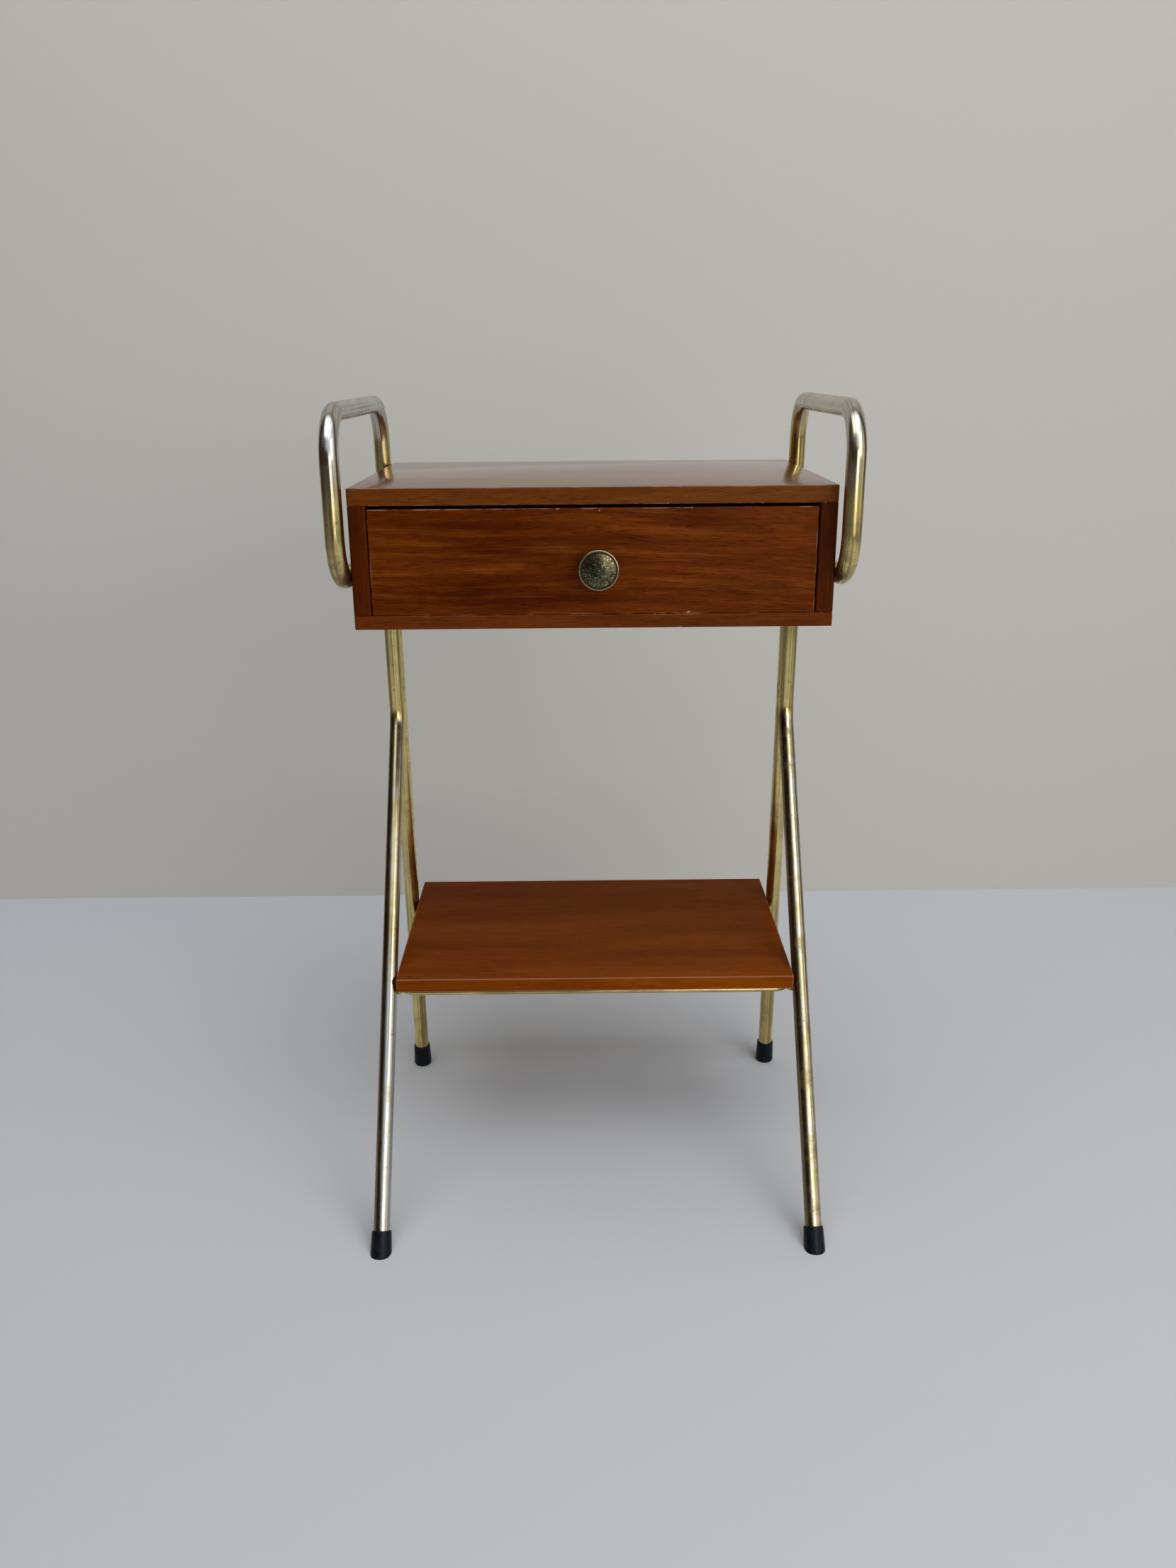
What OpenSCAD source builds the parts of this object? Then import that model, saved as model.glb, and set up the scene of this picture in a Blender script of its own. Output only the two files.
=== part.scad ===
// Bedside table. A wooden case with one drawer and a lower shelf hang between
// two side frames. Each frame is one bent brass tube: it runs from the front
// foot up a leaning leg, bends upright beside its own rear leg, loops round
// the side of the case as a carrying handle and comes down to the rear foot.
// X is to the right, Y to the back and Z up. The origin is on the floor,
// under the middle of the table.

/* [Case] */
// Width of the case and of the shelf
case_w = 380; // [320:5:460]
// Depth of the case
case_d = 264; // [230:2:320]
// Height of the case
case_h = 110; // [96:1:140]
// Height of the table top over the floor
top_z = 675; // [620:5:740]
// Thickness of the top board
top_t = 13.5; // [12:0.5:18]
// Thickness of the side boards
side_t = 14; // [12:0.5:18]
// Thickness of the base board
base_t = 11; // [10:0.5:16]
// Thickness of the back board
back_t = 6; // [4:0.5:9]
// Radius of the boards' upright corners
corner_r = 1.5; // [1:0.5:4]
// Diameter of the case dowels
dowel_d = 6; // [4:1:7]
// Length of a case dowel
dowel_l = 18; // [14:1:22]
// Distance of the dowels from the front and back of the case
dowel_inset = 34; // [25:1:45]

/* [Drawer] */
// Gap over the drawer front
drawer_top_gap = 2.6; // [1.5:0.1:4]
// Gap at each end of the drawer front
drawer_end_gap = 0.9; // [0.5:0.1:2]
// Thickness of the drawer front
front_t = 15; // [12:0.5:20]
// Thickness of the drawer sides and back
wall_t = 9; // [7:0.5:12]
// Height of the drawer sides
wall_h = 74; // [50:1:76]
// Thickness of the drawer bottom
bottom_t = 4; // [3:0.5:6]
// Height of the drawer bottom over the lower edge of the sides
bottom_lift = 6; // [4:0.5:10]
// Depth of the groove that holds the drawer bottom
groove = 4; // [2:0.5:5]
// Width of the strips that guide the drawer
guide_w = 8; // [6:0.5:12]
// Height of the strips that guide the drawer
guide_h = 12; // [8:0.5:20]
// Width of each block that stops the closed drawer
stop_w = 32; // [20:1:45]
// Depth of each block that stops the closed drawer
stop_d = 10; // [6:0.5:14]
// Distance of each stop block from the middle
stop_x = 100; // [60:1:120]

/* [Knob] */
// Diameter of the knob
knob_d = 31.2; // [26:0.2:38]
// How far the knob stands out
knob_h = 20; // [16:0.5:26]
// Thickness of the knob's head at its rim
knob_head = 6; // [4:0.5:8]
// Diameter of the knob's neck
neck_d = 13; // [10:0.5:16]
// Width of the rim round the knob's face
rim_w = 1.1; // [0.8:0.1:2]
// Width of the groove inside the rim
rim_groove = 1.3; // [0.8:0.1:2]
// Depth of the groove inside the rim
rim_groove_depth = 1.4; // [0.8:0.1:2]
// Rise of the domed face over the rim
face_rise = 1.2; // [0.5:0.1:2]
// How far the knob sits to the right of the drawer's middle
knob_right = 4; // [-10:0.5:10]
// How far the knob sits below the drawer's middle
knob_drop = 4; // [-10:0.5:10]
// Diameter of the screw that holds the knob
knob_screw_d = 4; // [3:0.5:5]
// How far that screw goes into the knob
knob_grip = 11; // [7:0.5:13]

/* [Side frames] */
// Outer diameter of the brass tube
tube_d = 15; // [13:0.5:18]
// Wall of the brass tube
tube_wall = 1.5; // [1:0.1:2.5]
// Centre-line radius of the tube's bends
bend_r = 37; // [30:1:42]
// Height of the handle's centre line over the table top
handle_rise = 56; // [48:1:75]
// Depth of the loop's lower run under the table top
loop_drop = 72; // [60:1:80]
// How far the handle's upright stands in front of the case
handle_reach = 17; // [5:1:30]
// Lean of the front legs from upright, in degrees
front_lean = 33.8; // [30:0.1:37]
// Lean of the rear legs from upright, in degrees
rear_lean = 2.66; // [1:0.01:5]
// How far the front feet stand in front of the case
front_reach = 45; // [30:1:60]
// How far the rear feet stand behind the case
rear_reach = 11.5; // [0:0.5:25]
// Length of the braze beads at the waist
braze_l = 26; // [16:1:34]
// Radius of the braze beads at the waist
braze_r = 2.2; // [1.8:0.1:2.8]

/* [Shelf] */
// Height of the shelf's top face over the floor
shelf_z = 210.5; // [180:0.5:250]
// Depth of the shelf
shelf_d = 234; // [215:1:260]
// Thickness of the shelf
shelf_t = 13.5; // [12:0.5:18]
// How far the shelf's front edge stands in front of the front legs
shelf_nose = 2; // [1:0.5:6]
// Diameter of the pins in the ends of the shelf
pin_d = 5; // [4:0.5:6]
// Length of a shelf pin
pin_l = 26; // [20:1:32]
// How far a shelf pin reaches into its leg
pin_reach = 5; // [3:0.5:7]
// Diameter of the rod under the shelf
rod_d = 5.5; // [4:0.5:8]
// Distance of the rod behind the shelf's front edge
rod_inset = 2.8; // [1:0.1:8]
// Centre-line radius of the rod's corners
rod_bend = 15; // [10:1:25]
// How far the rod's arms run on behind the rear legs
rod_tail = 10; // [6:1:20]
// Radius of the braze beads between rod and legs
rod_bead_r = 4; // [3:0.1:5]

/* [Feet] */
// Diameter of a foot at the floor
foot_d = 19.4; // [18:0.1:24]
// Wall of a foot round its mouth
foot_wall = 1.2; // [1:0.1:2]
// Length of a foot down its longest side
foot_h = 25; // [22:0.5:32]
// Radius of the edge round the sole of a foot
sole_round = 3; // [2:0.5:4]
// Rubber between the floor and the end of the tube, along the leg
foot_sole = 8; // [7:0.5:9]

/* [Screws] */
// Diameter of the wood screws
screw_d = 3.5; // [3:0.5:4.5]
// Diameter of the round screw heads
screw_head_d = 7; // [6:0.5:9]
// Height of the round screw heads
screw_head_h = 2.4; // [1.6:0.1:3]
// How deep the screws go into the sides of the case
case_grip = 12; // [9:0.5:12]
// Distance of the case screws from the ends of the loop's lower run
screw_inset = 20; // [10:1:40]
// Width and depth of the slots in the screw heads
slot = 1; // [0.6:0.1:1.4]

/* [Fits] */
// Gap between pieces that are seated on each other
seat = 0.1; // [0.05:0.01:0.2]
// Gap round a dowel, a screw shank or a tube end in its hole
hole_fit = 0.15; // [0.1:0.01:0.3]
// Gap under and behind the drawer, where it slides and stops
slide_fit = 0.3; // [0.2:0.1:0.8]
// Gap between the drawer and each guide strip
guide_fit = 0.8; // [0.4:0.1:1.5]
// Gap between the two runs of tube at the waist
run_gap = 0.3; // [0.2:0.05:0.6]
// How much fuller the bends are than the straight runs, all round
bend_swell = 0.03; // [0.01:0.01:0.04]

/* [Hidden] */
$fn = 64;
eps = 0.01;
left = -1;
right = 1;

mahogany = [0.36, 0.16, 0.07];
plywood = [0.72, 0.58, 0.40];
beech = [0.78, 0.62, 0.42];
brass = [0.71, 0.61, 0.36];
aged_brass = [0.46, 0.42, 0.28];
steel = [0.72, 0.72, 0.70];
rubber = [0.07, 0.07, 0.08];

// The frames' outline, seen from the side: [distance behind the case's
// front, height over the floor].
tube_r = tube_d / 2;
frame_x = case_w / 2 + seat + tube_r;
rear_foot_y = case_d + rear_reach;
front_foot_y = -front_reach;
run_pitch = (tube_d + run_gap) / cos(rear_lean);
waist_z = (rear_foot_y - run_pitch - front_foot_y)
    / (tan(front_lean) + tan(rear_lean));
loop_z = top_z - loop_drop;
handle_z = top_z + handle_rise;
function rear_y(z) = rear_foot_y - z * tan(rear_lean);
function front_y(z) = front_foot_y + z * tan(front_lean);
function inner_y(z) = rear_y(z) - run_pitch;
front_end = [front_y(foot_sole * cos(front_lean)),
    foot_sole * cos(front_lean)];
rear_end = [rear_y(foot_sole * cos(rear_lean)),
    foot_sole * cos(rear_lean)];
frame_corners = [
    front_end,
    [inner_y(waist_z), waist_z],
    [inner_y(loop_z), loop_z],
    [-handle_reach, loop_z],
    [-handle_reach, handle_z],
    [rear_y(handle_z), handle_z],
    rear_end];

// The shelf and the middle of the whole table, in the same outline.
shelf_mid = shelf_z - shelf_t / 2;
shelf_front = front_y(shelf_mid) - tube_r / cos(front_lean) - shelf_nose;
shelf_back = shelf_front + shelf_d;
sole_setback = sole_round * (sin(front_lean) + cos(front_lean) - 1);
table_front = front_foot_y - foot_d / 2 / cos(front_lean) + sole_setback;
table_back = max(shelf_back, rear_foot_y + foot_d / 2 / cos(rear_lean));
case_front = -(table_front + table_back) / 2;

// The case's opening and the drawer in it.
base_z = top_z - case_h;
side_z = base_z + base_t;
side_h = case_h - base_t - top_t;
opening_w = case_w - 2 * side_t;
front_w = opening_w - 2 * drawer_end_gap;
front_h = side_h - drawer_top_gap - slide_fit;
drawer_z = side_z + slide_fit;
drawer_w = opening_w - 2 * (guide_w + guide_fit);
drawer_d = case_d - back_t - stop_d - slide_fit;
drawer_wall_l = drawer_d - front_t - seat;
guide_l = case_d - back_t - front_t - slide_fit - seat;
knob_x = knob_right;
knob_z = drawer_z + front_h / 2 - knob_drop;

// Where the screws and the shelf pins are, as [distance behind front, height].
loop_set = bend_r * tan((90 - rear_lean) / 2);
case_screw_at = [
    [bend_r + screw_inset - handle_reach, loop_z],
    [inner_y(loop_z) - loop_set - screw_inset, loop_z]];
pin_at = [
    [front_y(shelf_mid), shelf_mid],
    [rear_y(shelf_mid), shelf_mid]];

// The rod's outline, seen from above, and its height.
rod_z = shelf_z - shelf_t - seat - rod_d / 2;
rod_x = case_w / 2 - rod_d / 2;
rod_y = shelf_front + rod_inset + rod_d / 2;
rod_end = rear_y(rod_z) + tube_r + rod_tail;
rod_corners = [[-rod_x, rod_end], [-rod_x, rod_y], [rod_x, rod_y],
    [rod_x, rod_end]];

// ---- Bent tube and rod ------------------------------------------------

// How far a run goes on into a bend.
bend_lap = 10 * bend_swell;

function unit(v) = v / norm(v);

// Signed angle through which a route turns at b, from a on to c.
function turn(a, b, c) =
    let (u = unit(b - a), w = unit(c - b))
    atan2(u[0] * w[1] - u[1] * w[0], u[0] * w[0] + u[1] * w[1]);

// Length that a bend of radius r takes from each run that meets at b.
function setback(a, b, c, r) = r * tan(abs(turn(a, b, c)) / 2);

// Round run from a to b, shortened by cut_a and cut_b at its ends.
module run(a, b, cut_a, cut_b, d) {
    along = unit(b - a);
    translate(a + along * cut_a)
        rotate([0, 90, atan2(along[1], along[0])])
            cylinder(d = d, h = norm(b - a) - cut_a - cut_b);
}

// Bend at b, between the runs from a and to c. It is a little fuller than
// the runs, and they end just inside it.
module bend(a, b, c, r, d) {
    angle = turn(a, b, c);
    along = unit(b - a);
    inward = sign(angle) * [-along[1], along[0]];
    centre = b - along * setback(a, b, c, r) + inward * r;
    start = atan2(-inward[1], -inward[0]);
    translate(centre)
        rotate(angle > 0 ? start : start + angle)
            rotate_extrude(angle = abs(angle))
                translate([r, 0]) circle(d = d + 2 * bend_swell);
}

// A whole bent rod through its corners, flat in the XY plane. Its two ends
// run on by extra.
module bent(corners, r, d, extra = 0) {
    last = len(corners) - 1;
    for (i = [0:last - 1]) {
        a = corners[i];
        b = corners[i + 1];
        cut_a = i == 0 ? -extra
            : setback(corners[i - 1], a, b, r) - bend_lap;
        cut_b = i == last - 1 ? -extra
            : setback(a, b, corners[i + 2], r) - bend_lap;
        run(a, b, cut_a, cut_b, d);
    }
    for (i = [1:last - 1])
        bend(corners[i - 1], corners[i], corners[i + 1], r, d);
}

// Puts a shape drawn as [behind front, height] upright at side x.
module upright(x) {
    translate([x, case_front, 0]) rotate([90, 0, 90]) children();
}

// A hole or shank across a frame: from x, inward by l, at p.
module across(side, x, l, d, p) {
    translate([side * x, case_front + p[0], p[1]])
        rotate([0, -side * 90, 0]) cylinder(d = d, h = l);
}

module side_frame(side) {
    color(brass) difference() {
        upright(side * frame_x)
            difference() {
                bent(frame_corners, bend_r, tube_d);
                bent(frame_corners, bend_r, tube_d - 2 * tube_wall, eps);
            }
        for (p = case_screw_at)
            across(side, frame_x + tube_d, 2 * tube_d,
                screw_d + 2 * hole_fit, p);
        for (p = pin_at)
            across(side, frame_x, tube_d, pin_d + 2 * hole_fit, p);
    }
}

module left_side_frame() { side_frame(left); }

module right_side_frame() { side_frame(right); }

// Two beads in the valleys between the runs, from the waist upward.
module waist_brazes() {
    start = setback(frame_corners[0], frame_corners[1], frame_corners[2],
        bend_r);
    middle = run_pitch * cos(rear_lean) / 2;
    valley = sqrt(pow(tube_r + braze_r, 2) - pow(middle, 2)) - braze_r / 2;
    color(aged_brass) for (side = [left, right])
        translate([side * frame_x, case_front + inner_y(waist_z), waist_z])
            rotate([rear_lean, 0, 0]) translate([0, middle, start])
                linear_extrude(braze_l) difference() {
                    for (x = [-valley, valley])
                        translate([x, 0]) circle(r = braze_r);
                    for (y = [-middle, middle])
                        translate([0, y]) circle(r = tube_r + seat / 2);
                }
}

module shelf_rod() {
    color(brass) translate([0, case_front, rod_z])
        bent(rod_corners, rod_bend, rod_d);
}

// Bead at [x, y] between the rod and a leg that leans by lean, cut off at top.
module rod_bead(side, at, leg_y, lean, top) {
    difference() {
        translate([side * at[0], case_front + at[1], rod_z])
            sphere(r = rod_bead_r);
        translate([side * frame_x, case_front + leg_y, rod_z])
            rotate([lean, 0, 0])
                cylinder(r = tube_r + seat / 2, h = 4 * rod_bead_r,
                    center = true);
        translate([0, case_front, rod_z])
            bent(rod_corners, rod_bend, rod_d + seat);
        translate([side * at[0], case_front + at[1], top + rod_bead_r])
            cube(2 * rod_bead_r, center = true);
    }
}

// At the front a bead fills the space between each leg and the rod's corner.
// At the back it lies in the lower valley where the rod's arm passes the leg.
module rod_brazes() {
    front_leg = [frame_x, front_y(rod_z)];
    bend_centre = [rod_x - rod_bend, rod_y + rod_bend];
    front_at = bend_centre + unit(front_leg - bend_centre)
        * (rod_bend + rod_d / 2 + rod_bead_r / 2);
    rear_at = [case_w / 2 - rod_bead_r / 4, rear_y(rod_z)];
    color(aged_brass) for (side = [left, right]) {
        rod_bead(side, front_at, front_leg[1], -front_lean,
            rod_z + rod_d / 2);
        rod_bead(side, rear_at, rear_at[1], rear_lean, rod_z - rod_d / 4);
    }
}

// ---- Feet ---------------------------------------------------------------

// Rubber ferrule on a leg that leans by lean, cut flat on the floor.
module foot(side, y, lean) {
    foot_r = foot_d / 2;
    mouth_r = tube_r + foot_wall;
    sink = foot_r * tan(abs(lean));
    mouth = foot_h - sink;
    color(rubber) difference() {
        translate([side * frame_x, case_front + y, 0]) rotate([lean, 0, 0])
            difference() {
                rotate_extrude() union() {
                    polygon([
                        [0, -sink], [foot_r - sole_round, -sink],
                        [foot_r, sole_round - sink],
                        [mouth_r + foot_wall / 4, mouth - foot_wall],
                        [mouth_r, mouth], [0, mouth]]);
                    translate([foot_r - sole_round, sole_round - sink])
                        circle(r = sole_round);
                }
                translate([0, 0, foot_sole - hole_fit])
                    cylinder(r = tube_r + hole_fit, h = foot_h);
            }
        translate([side * frame_x, case_front + y, -foot_h])
            cube([4 * foot_d, 4 * foot_d, 2 * foot_h], center = true);
    }
}

module front_left_foot() { foot(left, front_foot_y, -front_lean); }

module front_right_foot() { foot(right, front_foot_y, -front_lean); }

module rear_left_foot() { foot(left, rear_foot_y, rear_lean); }

module rear_right_foot() { foot(right, rear_foot_y, rear_lean); }

// ---- Screws -------------------------------------------------------------

// Round-head wood screw from the outside of a frame into the case at p.
module wood_screw(side, p) {
    outside = frame_x + tube_r + seat;
    across(side, outside, outside - case_w / 2 + case_grip, screw_d, p);
    translate([side * outside, case_front + p[0], p[1]])
        rotate([0, side * 90, 0]) difference() {
            rotate_extrude() intersection() {
                square([screw_head_d / 2, screw_head_h]);
                translate([0, screw_head_h - screw_head_d * 3 / 4])
                    circle(d = screw_head_d * 3 / 2);
            }
            translate([-screw_head_d, -slot / 2, screw_head_h - slot])
                cube([2 * screw_head_d, slot, 2 * slot]);
        }
}

module case_screws() {
    color(aged_brass) for (side = [left, right], p = case_screw_at)
        wood_screw(side, p);
}

// ---- Case and shelf -----------------------------------------------------

// Board w wide and d deep with rounded upright corners.
module board(w, d, t) {
    linear_extrude(t) union() {
        translate([-w / 2, corner_r]) square([w, d - 2 * corner_r]);
        translate([corner_r - w / 2, 0]) square([w - 2 * corner_r, d]);
        for (x = [-1, 1], y = [corner_r, d - corner_r])
            translate([x * (w / 2 - corner_r), y]) circle(r = corner_r);
    }
}

// One shape at each of the four dowel places, at height z.
module at_dowels(z) {
    for (side = [left, right], y = [dowel_inset, case_d - dowel_inset])
        translate([side * (case_w - side_t) / 2, case_front + y, z])
            children();
}

// Holes for dowels that cross the joint at height z.
module dowel_holes(z) {
    at_dowels(z)
        cylinder(d = dowel_d + 2 * hole_fit, h = dowel_l + 2 * hole_fit,
            center = true);
}

top_joint_z = side_z + side_h;

module top_panel() {
    color(mahogany) difference() {
        translate([0, case_front, top_joint_z])
            board(case_w, case_d, top_t);
        dowel_holes(top_joint_z);
    }
}

module base_panel() {
    color(mahogany) difference() {
        translate([0, case_front, base_z]) board(case_w, case_d, base_t);
        dowel_holes(side_z);
    }
}

module side_panel(side) {
    color(mahogany) difference() {
        translate([side * (case_w - side_t) / 2, case_front, side_z])
            board(side_t, case_d, side_h);
        dowel_holes(side_z);
        dowel_holes(top_joint_z);
        for (p = case_screw_at)
            across(side, case_w / 2 + eps, case_grip + hole_fit + eps,
                screw_d + 2 * hole_fit, p);
    }
}

module left_side_panel() { side_panel(left); }

module right_side_panel() { side_panel(right); }

module back_panel() {
    color(plywood)
        translate([seat - opening_w / 2, case_front + case_d - back_t,
            side_z + seat])
            cube([opening_w - 2 * seat, back_t, side_h - 2 * seat]);
}

module case_dowels() {
    color(beech) for (z = [side_z, top_joint_z])
        at_dowels(z) cylinder(d = dowel_d, h = dowel_l, center = true);
}

module shelf() {
    color(mahogany) difference() {
        translate([0, case_front + shelf_front, shelf_z - shelf_t])
            board(case_w, shelf_d, shelf_t);
        for (side = [left, right], p = pin_at)
            across(side, case_w / 2 + eps, pin_l - pin_reach + hole_fit + eps,
                pin_d + 2 * hole_fit, p);
    }
}

// Plain pins from the ends of the shelf through the inner walls of the legs.
module shelf_pins() {
    color(steel) for (side = [left, right], p = pin_at)
        across(side, case_w / 2 + pin_reach, pin_l, pin_d, p);
}

// Strip on the base board that guides one side of the drawer.
module drawer_guide(side) {
    color(beech)
        translate([side * (opening_w - guide_w - seat) / 2 - guide_w / 2,
            case_front + front_t + slide_fit, side_z + seat / 2])
            cube([guide_w - seat / 2, guide_l, guide_h]);
}

module left_drawer_guide() { drawer_guide(left); }

module right_drawer_guide() { drawer_guide(right); }

module drawer_stops() {
    color(beech) for (x = [-stop_x, stop_x])
        translate([x - stop_w / 2, case_front + case_d - back_t - stop_d,
            side_z])
            cube([stop_w, stop_d, guide_h]);
}

// ---- Drawer -------------------------------------------------------------

// The drawer bottom with its edges grown by fit, in the grooves.
module bottom_in_groove(fit) {
    w = drawer_w - 2 * (wall_t - groove);
    translate([-w / 2 - fit, case_front + front_t - groove - fit,
        drawer_z + bottom_lift - fit])
        cube([w + 2 * fit, drawer_wall_l + groove + fit,
            bottom_t + 2 * fit]);
}

module drawer_front() {
    color(mahogany) difference() {
        translate([-front_w / 2, case_front, drawer_z])
            cube([front_w, front_t, front_h]);
        bottom_in_groove(seat);
        translate([knob_x, case_front - eps, knob_z]) rotate([-90, 0, 0])
            cylinder(d = knob_screw_d + 2 * hole_fit, h = front_t + 2 * eps);
    }
}

module drawer_side(side) {
    color(beech) difference() {
        translate([side * (drawer_w - wall_t) / 2 - wall_t / 2,
            case_front + front_t + seat, drawer_z])
            cube([wall_t, drawer_wall_l, wall_h]);
        bottom_in_groove(seat);
    }
}

module drawer_left_side() { drawer_side(left); }

module drawer_right_side() { drawer_side(right); }

// The back stands on the drawer bottom, between the sides.
module drawer_back() {
    foot_z = bottom_lift + bottom_t + seat;
    w = drawer_w - 2 * (wall_t + seat);
    color(beech) translate([-w / 2, case_front + drawer_d - wall_t,
        drawer_z + foot_z])
        cube([w, wall_t, wall_h - foot_z]);
}

module drawer_bottom() { color(plywood) bottom_in_groove(0); }

// ---- Knob ---------------------------------------------------------------

// Turns a shape that stands on the XY plane to stand out of the drawer.
module on_front() {
    translate([knob_x, case_front, knob_z]) rotate([90, 0, 0]) children();
}

// Half outline of the knob: neck, flared back, rim, groove and domed face.
module knob_outline() {
    rim_r = knob_d / 2;
    face_r = rim_r - rim_w - rim_groove;
    dome_r = (pow(face_r, 2) + pow(face_rise, 2)) / 2 / face_rise;
    flare = rim_r - neck_d / 2;
    head_z = knob_h - face_rise - knob_head;
    rim_round = rim_w / 2;
    difference() {
        union() {
            square([neck_d / 2, knob_h - face_rise]);
            difference() {
                translate([0, head_z - flare / 2])
                    square([rim_r, flare / 2 + knob_head / 2]);
                translate([rim_r, head_z - flare / 2])
                    circle(r = flare / 2);
                translate([neck_d / 2, head_z - flare])
                    square([flare, flare / 2 + eps]);
            }
            translate([0, head_z])
                square([rim_r - rim_round, knob_head]);
            translate([0, head_z + rim_round])
                square([rim_r, knob_head - 2 * rim_round]);
            for (z = [head_z + rim_round, knob_h - face_rise - rim_round])
                translate([rim_r - rim_round, z]) circle(r = rim_round);
        }
        translate([face_r, knob_h - face_rise - rim_groove_depth])
            square([rim_groove, 2 * rim_groove_depth]);
    }
    intersection() {
        translate([0, knob_h - face_rise - rim_groove_depth])
            square([face_r, face_rise + rim_groove_depth]);
        translate([0, knob_h - dome_r]) circle(r = dome_r);
    }
}

module drawer_knob() {
    color(aged_brass) on_front() difference() {
        translate([0, 0, seat]) rotate_extrude() intersection() {
            knob_outline();
            square([knob_d, 2 * knob_h]);
        }
        translate([0, 0, -eps])
            cylinder(d = knob_screw_d + 2 * hole_fit,
                h = knob_grip + hole_fit + eps);
    }
}

washer_t = knob_screw_d / 4;

module knob_washer() {
    color(steel) on_front() translate([0, 0, -front_t - seat - washer_t])
        difference() {
            cylinder(d = 3 * knob_screw_d, h = washer_t);
            translate([0, 0, -washer_t])
                cylinder(d = knob_screw_d + 2 * hole_fit, h = 3 * washer_t);
        }
}

module knob_screw() {
    seat_z = -front_t - 2 * seat - washer_t;
    head_h = knob_screw_d / 2;
    color(steel) on_front() union() {
        translate([0, 0, seat_z])
            cylinder(d = knob_screw_d, h = knob_grip - seat_z);
        difference() {
            translate([0, 0, seat_z - head_h])
                cylinder(d = 2 * knob_screw_d, h = head_h);
            translate([-knob_screw_d, -slot / 2, seat_z - head_h - slot])
                cube([2 * knob_screw_d, slot, 2 * slot]);
        }
    }
}

top_panel();
base_panel();
left_side_panel();
right_side_panel();
back_panel();
case_dowels();
left_drawer_guide();
right_drawer_guide();
drawer_stops();
drawer_front();
drawer_left_side();
drawer_right_side();
drawer_back();
drawer_bottom();
drawer_knob();
knob_screw();
knob_washer();
left_side_frame();
right_side_frame();
waist_brazes();
case_screws();
shelf();
shelf_pins();
shelf_rod();
rod_brazes();
front_left_foot();
front_right_foot();
rear_left_foot();
rear_right_foot();
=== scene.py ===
import math

import bmesh
import bpy
from mathutils import Matrix, Vector


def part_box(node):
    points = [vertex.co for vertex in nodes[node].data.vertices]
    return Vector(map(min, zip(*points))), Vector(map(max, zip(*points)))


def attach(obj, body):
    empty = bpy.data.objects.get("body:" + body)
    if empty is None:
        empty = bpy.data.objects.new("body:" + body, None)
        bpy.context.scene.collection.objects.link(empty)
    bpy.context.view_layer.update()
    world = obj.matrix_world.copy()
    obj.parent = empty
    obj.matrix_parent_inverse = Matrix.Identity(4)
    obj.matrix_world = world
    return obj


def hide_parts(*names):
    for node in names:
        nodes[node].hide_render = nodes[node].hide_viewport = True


# A bedside table: a mahogany case with one drawer and a lower shelf, hung between
# two bent brass tube frames. The file follows the table as it is put together.
# Lengths are in metres, +X is to the right, +Y to the back and +Z up.
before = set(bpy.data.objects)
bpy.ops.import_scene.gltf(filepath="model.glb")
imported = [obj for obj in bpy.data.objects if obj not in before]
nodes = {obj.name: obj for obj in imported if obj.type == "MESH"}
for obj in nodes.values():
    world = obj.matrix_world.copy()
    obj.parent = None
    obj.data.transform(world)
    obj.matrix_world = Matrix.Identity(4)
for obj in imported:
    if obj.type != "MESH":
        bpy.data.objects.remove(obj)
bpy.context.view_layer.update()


# ---- Room -------------------------------------------------------------------
# A pale floor, a pale wall close behind the table, and soft lamps over it. The
# surroundings are dim low down and on the left, so that metal has dark edges.
FLOOR_SIZE = 12.0
FLOOR_COLOUR = (0.53, 0.535, 0.55, 1)
WALL_Y = 0.62
WALL_WIDTH = 3.0
WALL_HEIGHT = 2.6
WALL_COLOUR = (0.535, 0.515, 0.475, 1)
BACKDROP_COLOUR = (0.45, 0.44, 0.415, 1)
SKY_COLOUR = (0.82, 0.94, 1.10, 1)
LOW_SKY_COLOUR = (0.95, 0.90, 0.78, 1)
DIM_COLOUR = (0.055, 0.036, 0.018, 1)

# Name, place, target, width, height, watts and colour of each lamp.
LAMPS = (
    ("overhead_light", (-0.1, -0.7, 2.7), (0, 0, 0.3), 2.8, 1.8, 32, (0.99, 0.99, 0.98)),
    ("right_light", (1.15, -1.35, 1.45), (0, 0, 0.5), 0.9, 1.2, 10, (1.0, 0.985, 0.94)),
    ("low_front_light", (0.60, -1.95, 0.78), (0, 0, 0.45), 0.80, 0.9, 7, (1.0, 0.985, 0.95)))

# Parts of a direction's unit vector between which the surroundings change.
SKYLINE = (0.38, 0.47)
SKYLINE_FALL_TO_RIGHT = 0.85
SKY_TONES = (0.15, 0.60)
SKY_STARTS_IN_FRONT = (0.10, -0.15)
SKY_LEFT_TO_RIGHT = (-0.44, -0.10)
SKY_SHARES = (0.10, 0.95)


def new_material(name, **values):
    """A material, its tree and its Principled shader, which has these values."""
    material = bpy.data.materials.new(name)
    material.use_nodes = True
    tree = material.node_tree
    shader = tree.nodes["Principled BSDF"]
    for key, value in values.items():
        shader.inputs[key.replace("_", " ")].default_value = value
    return material, tree, shader


def add_node(tree, kind, settings=None, **inputs):
    """A shader node, with settings on the node and values or links on its inputs."""
    node = tree.nodes.new(kind)
    for key, value in (settings or {}).items():
        setattr(node, key, value)
    for key, value in inputs.items():
        socket = node.inputs[int(key[1:]) if key[1:].isdigit() else key.replace("_", " ")]
        if isinstance(value, bpy.types.NodeSocket):
            tree.links.new(value, socket)
        else:
            socket.default_value = value
    return node


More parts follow.
